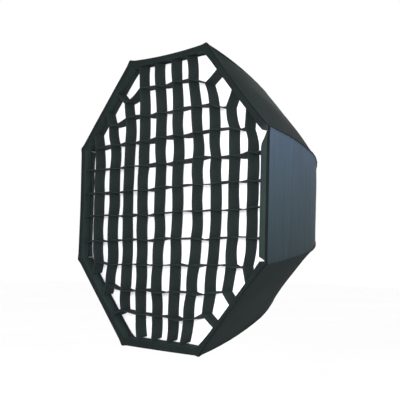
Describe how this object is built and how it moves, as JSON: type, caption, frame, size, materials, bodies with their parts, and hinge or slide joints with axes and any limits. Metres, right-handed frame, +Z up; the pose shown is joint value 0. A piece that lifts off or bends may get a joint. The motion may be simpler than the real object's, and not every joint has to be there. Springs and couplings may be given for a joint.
{
  "type": "octagonal softbox with honeycomb grid",
  "caption": "Octagonal rod-framed softbox with a fabric honeycomb grid and white diffuser on its front, on a rotating three-lug bayonet speedring.",
  "frame": {"origin": "centre of the light bore at the rearmost face of the bayonet insert", "axes": "+Y along the light's axis, rearwards towards the light (the grid faces -Y), +Z up, +X towards side 1, the blue-grey panel"},
  "size_m": [0.953, 0.5684, 0.953],
  "materials": {
    "insert_alloy": "turned, bright",
    "ring_paint": "black powder coat, fine texture",
    "screw_steel": "bright plated",
    "rod_steel": "spring steel, satin",
    "knob_plastic": "moulded black",
    "black_cloth": "coated black nylon, slight sheen",
    "satin_cloth": "blue-grey satin cloth, faint upright streaks",
    "silver_lining": "metallised silver, crinkled",
    "piping_cloth": "bound black piping",
    "hem_cloth": "black ribbed binding",
    "hook_tape": "black hook tape",
    "webbing": "black woven webbing",
    "diffuser_cloth": "white translucent cloth",
    "baffle_cloth": "white translucent cloth",
    "grid_cloth": "black woven grid cloth"
  },
  "bodies": {
    "mount": {"mount_insert": "insert_alloy", "insert_retaining_ring": "insert_alloy", "retaining_ring_screws": "screw_steel"},
    "lock_screw_1": {"lock_screw_1": "knob_plastic"},
    "lock_screw_2": {"lock_screw_2": "knob_plastic"},
    "lock_screw_3": {"lock_screw_3": "knob_plastic"},
    "lock_screw_4": {"lock_screw_4": "knob_plastic"},
    "diffuser": {"diffuser_border": "diffuser_cloth", "diffuser_panel": "diffuser_cloth"},
    "grid": {"grid_border": "grid_cloth", "grid_strip_v1": "grid_cloth", "grid_strip_v2": "grid_cloth", "grid_strip_v3": "grid_cloth", "grid_strip_v4": "grid_cloth", "grid_strip_v5": "grid_cloth", "grid_strip_v6": "grid_cloth", "grid_strip_v7": "grid_cloth", "grid_strip_v8": "grid_cloth", "grid_strip_v9": "grid_cloth", "grid_strip_v10": "grid_cloth", "grid_strip_h1": "grid_cloth", "grid_strip_h2": "grid_cloth", "grid_strip_h3": "grid_cloth", "grid_strip_h4": "grid_cloth", "grid_strip_h5": "grid_cloth", "grid_strip_h6": "grid_cloth", "grid_strip_h7": "grid_cloth", "grid_strip_h8": "grid_cloth", "grid_strip_h9": "grid_cloth", "grid_strip_h10": "grid_cloth"},
    "softbox": {"speedring_body": "ring_paint", "rear_collar": "black_cloth", "rod_ferrules": "screw_steel", "rod_end_caps": "knob_plastic", "corner_pockets": "webbing", "gore_linings": "silver_lining", "seam_piping": "piping_cloth", "front_hem": "hem_cloth", "hem_hook_tapes": "hook_tape", "inner_baffle": "baffle_cloth", "baffle_clips": "knob_plastic", "baffle_straps": "webbing", "baffle_snaps": "screw_steel", "rod_1": "rod_steel", "rod_2": "rod_steel", "rod_3": "rod_steel", "rod_4": "rod_steel", "rod_5": "rod_steel", "rod_6": "rod_steel", "rod_7": "rod_steel", "rod_8": "rod_steel", "gore_1": "satin_cloth", "gore_2": "black_cloth", "gore_3": "black_cloth", "gore_4": "black_cloth", "gore_5": "black_cloth", "gore_6": "black_cloth", "gore_7": "black_cloth", "gore_8": "black_cloth"}
  },
  "joints": [
    {"name": "softbox_turn", "type": "hinge", "parent": "mount", "child": "softbox", "pos_m": [0, 0, 0], "axis": [0, 1, 0], "continuous": true},
    {"name": "lock_screw_1_turn", "type": "hinge", "parent": "softbox", "child": "lock_screw_1", "pos_m": [0.088, -0.023, 0], "axis": [1, 0, 0], "range_deg": [0, 720]},
    {"name": "lock_screw_2_turn", "type": "hinge", "parent": "softbox", "child": "lock_screw_2", "pos_m": [0, -0.023, 0.088], "axis": [0, 0, 1], "range_deg": [0, 720]},
    {"name": "lock_screw_3_turn", "type": "hinge", "parent": "softbox", "child": "lock_screw_3", "pos_m": [-0.088, -0.023, 0], "axis": [-1, 0, 0], "range_deg": [0, 720]},
    {"name": "lock_screw_4_turn", "type": "hinge", "parent": "softbox", "child": "lock_screw_4", "pos_m": [0, -0.023, -0.088], "axis": [0, 0, -1], "range_deg": [0, 720]},
    {"name": "diffuser_off", "type": "slide", "parent": "softbox", "child": "diffuser", "axis": [0, -1, 0], "range_m": [0, 0.15]},
    {"name": "grid_off", "type": "slide", "parent": "diffuser", "child": "grid", "axis": [0, -1, 0], "range_m": [0, 0.15]}
  ]
}
